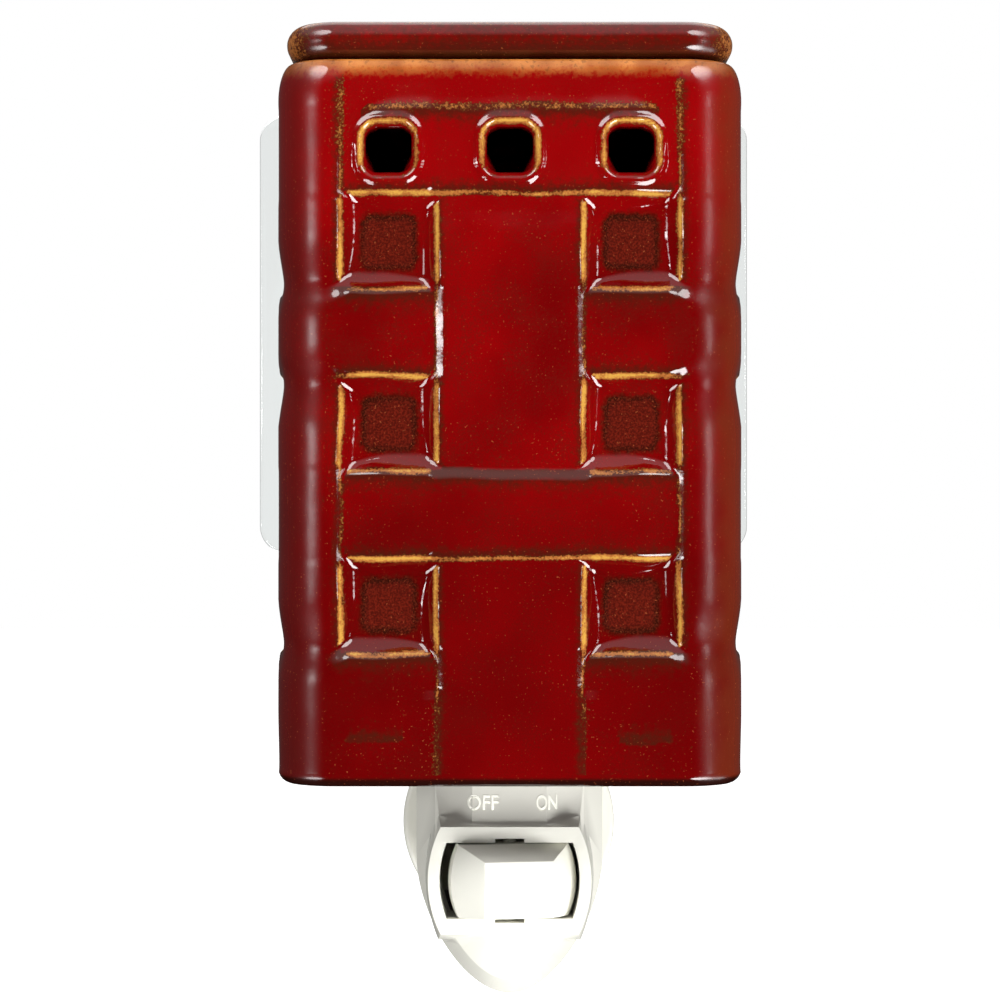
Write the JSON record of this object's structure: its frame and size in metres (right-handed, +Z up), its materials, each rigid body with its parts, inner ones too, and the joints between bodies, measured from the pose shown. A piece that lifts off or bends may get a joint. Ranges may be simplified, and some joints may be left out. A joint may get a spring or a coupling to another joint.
{
  "type": "wax melt warmer",
  "caption": "Plug-in wax melt warmer: basket-weave ceramic shade and lift-off dish on a switched night-light base with a swivel plug and a clear wall guard.",
  "frame": {"origin": "centre of the plug's back face, where it meets the wall outlet", "axes": "+Y into the wall along the plug's blades, +Z up, +X to the right seen from the room"},
  "size_m": [0.0922, 0.0895, 0.1662],
  "materials": {
    "red_glaze": "deep red gloss glaze that breaks to amber on edges",
    "white_plastic": "smooth warm white moulding",
    "clear_plastic": "clear sheet with polished edges",
    "gasket_rubber": "matt washer",
    "brass": "stamped strip",
    "nickel": "plated cap",
    "steel": "plain steel",
    "black_glass": "black insulator",
    "bulb_glass": "clear bulb glass"
  },
  "bodies": {
    "warmer": {"shade": "red_glaze", "wall_guard": "clear_plastic", "guard_rivets": "clear_plastic", "base_front": "white_plastic", "base_rear": "white_plastic", "socket_body": "white_plastic", "collar_nut": "white_plastic", "terminal_block": "white_plastic", "shade_gasket": "gasket_rubber", "line_contact_strip": "brass", "load_contact_strip": "brass", "neutral_contact_strip": "brass", "socket_shell": "brass", "socket_centre_contact": "brass"},
    "dish": {"dish": "red_glaze"},
    "rocker": {"rocker": "white_plastic", "rocker_plunger": "brass"},
    "contact": {"contact_plate": "brass"},
    "plug": {"plug_disc": "white_plastic", "plug_retainer": "white_plastic", "retainer_screws": "steel", "line_blade": "brass", "neutral_blade": "brass", "line_slip_ring": "brass", "neutral_slip_ring": "brass"},
    "bulb": {"bulb_glass": "bulb_glass", "bulb_cap": "nickel", "bulb_tip": "steel", "bulb_insulator": "black_glass", "bulb_stem": "bulb_glass", "bulb_filament": "steel"}
  },
  "joints": [
    {"name": "dish_lift", "type": "slide", "parent": "warmer", "child": "dish", "axis": [0, 0, 1], "range_m": [0, 0.06]},
    {"name": "rocker_turn", "type": "hinge", "parent": "warmer", "child": "rocker", "pos_m": [0, -0.0506, -0.0042], "axis": [0, 0, 1], "range_deg": [-20, 0]},
    {"name": "contact_rock", "type": "hinge", "parent": "warmer", "child": "contact", "pos_m": [0, -0.04175, -0.0042], "axis": [0, 0, 1], "range_deg": [0, 14]},
    {"name": "plug_swivel", "type": "hinge", "parent": "warmer", "child": "plug", "pos_m": [0, 0, 0], "axis": [0, 1, 0], "range_deg": [-90, 90]},
    {"name": "bulb_turn", "type": "hinge", "parent": "warmer", "child": "bulb", "pos_m": [0, -0.0384, 0.053], "axis": [0, 0, 1], "continuous": true}
  ],
  "couplings": [
    {"joint": "contact_rock", "follows": "rocker_turn", "ratio": -0.7}
  ]
}
